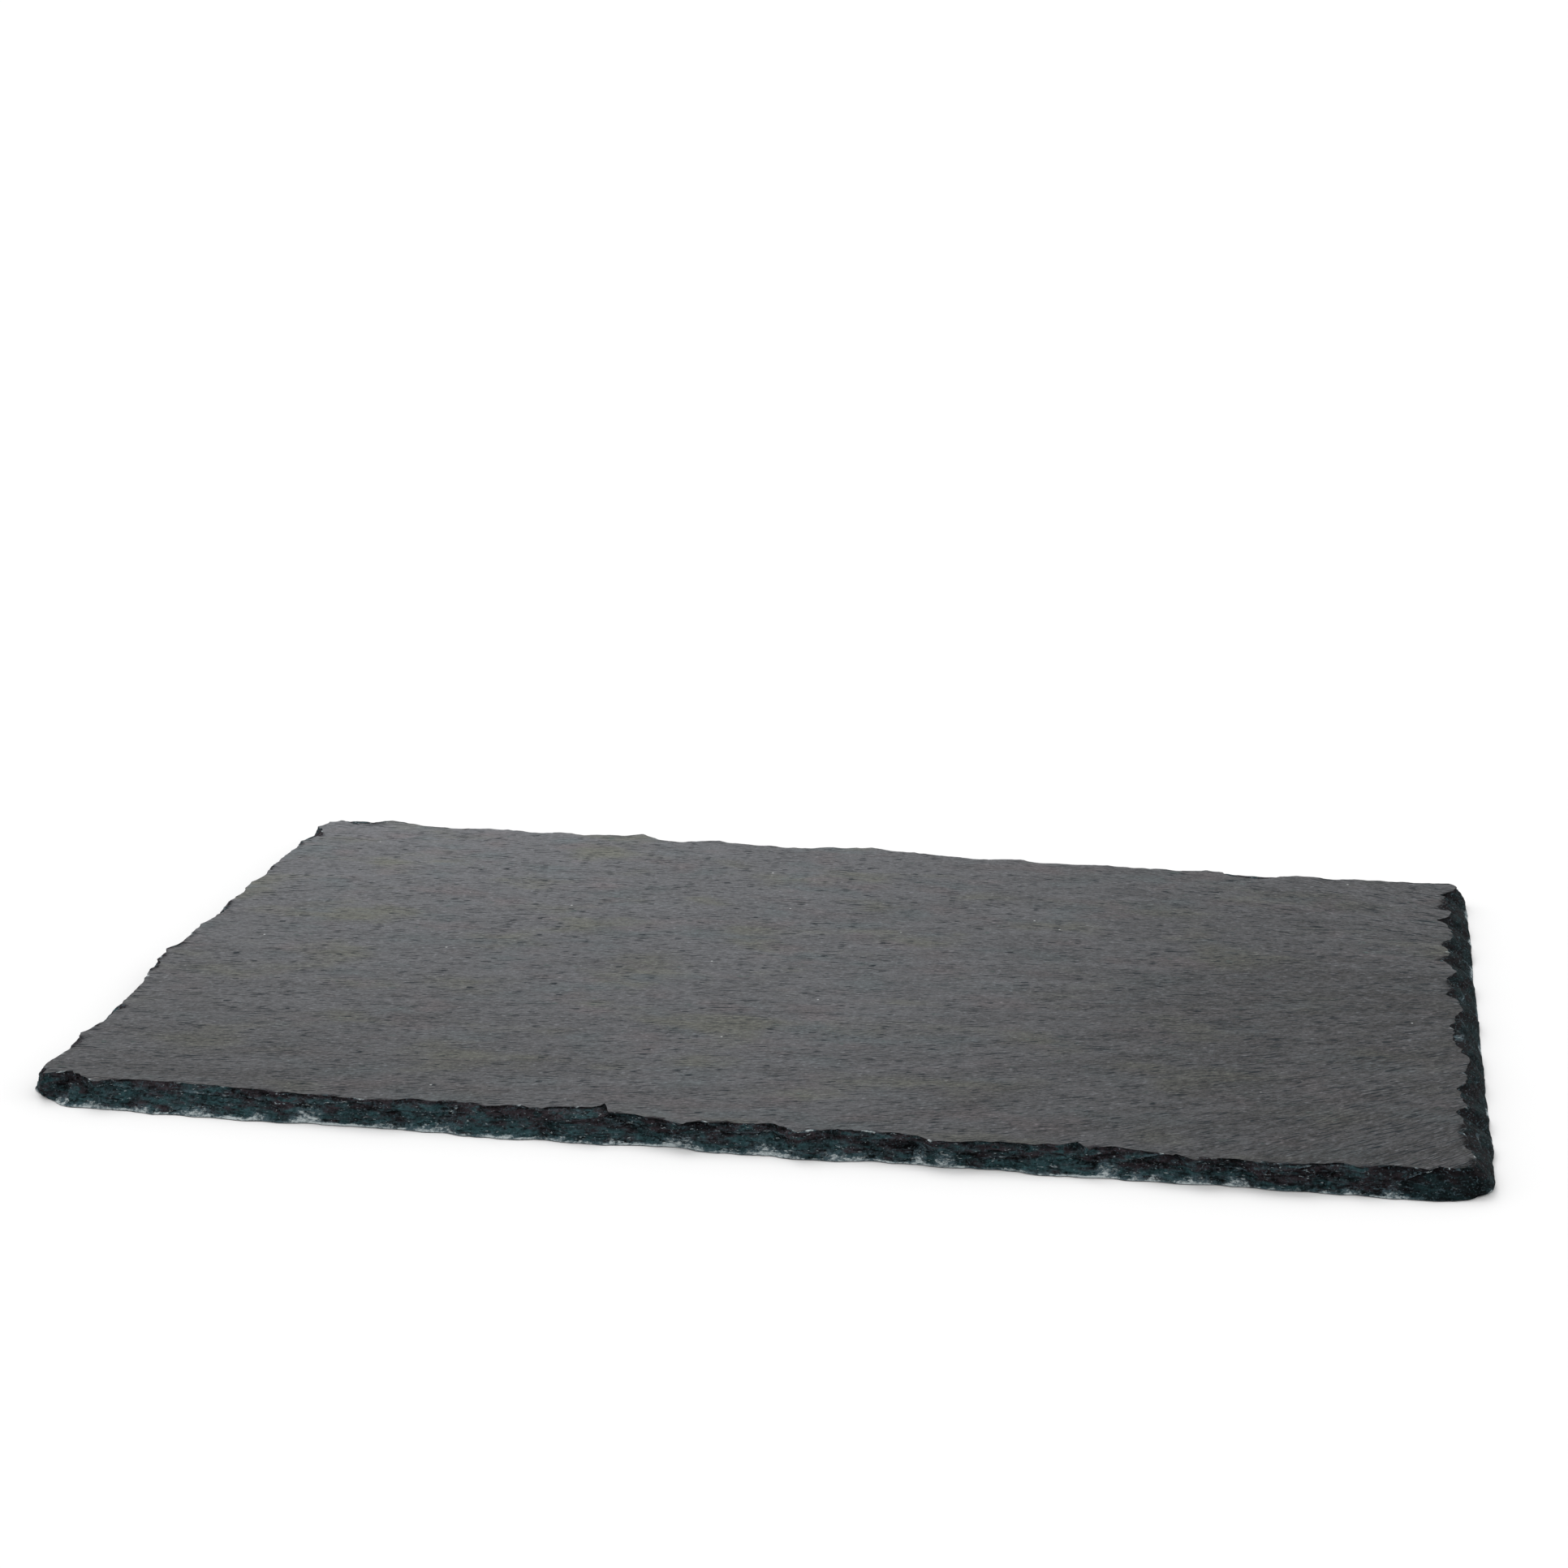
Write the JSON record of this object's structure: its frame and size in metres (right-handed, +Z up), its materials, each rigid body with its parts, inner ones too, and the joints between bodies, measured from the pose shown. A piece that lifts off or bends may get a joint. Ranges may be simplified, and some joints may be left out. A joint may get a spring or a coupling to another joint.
{
  "type": "slate slab",
  "caption": "Flat rectangular slab of riven slate with hand-dressed, scalloped edges that slope in to the top face.",
  "frame": {"origin": "middle of the slab's outer box, on the underside that it rests on", "axes": "+X along the long side, +Y from the front edge to the back edge, +Z up through the thickness"},
  "size_m": [0.3032, 0.2118, 0.0055],
  "materials": {
    "slate": "matte"
  },
  "bodies": {
    "root": {"slate_slab": "slate"}
  },
  "joints": []
}
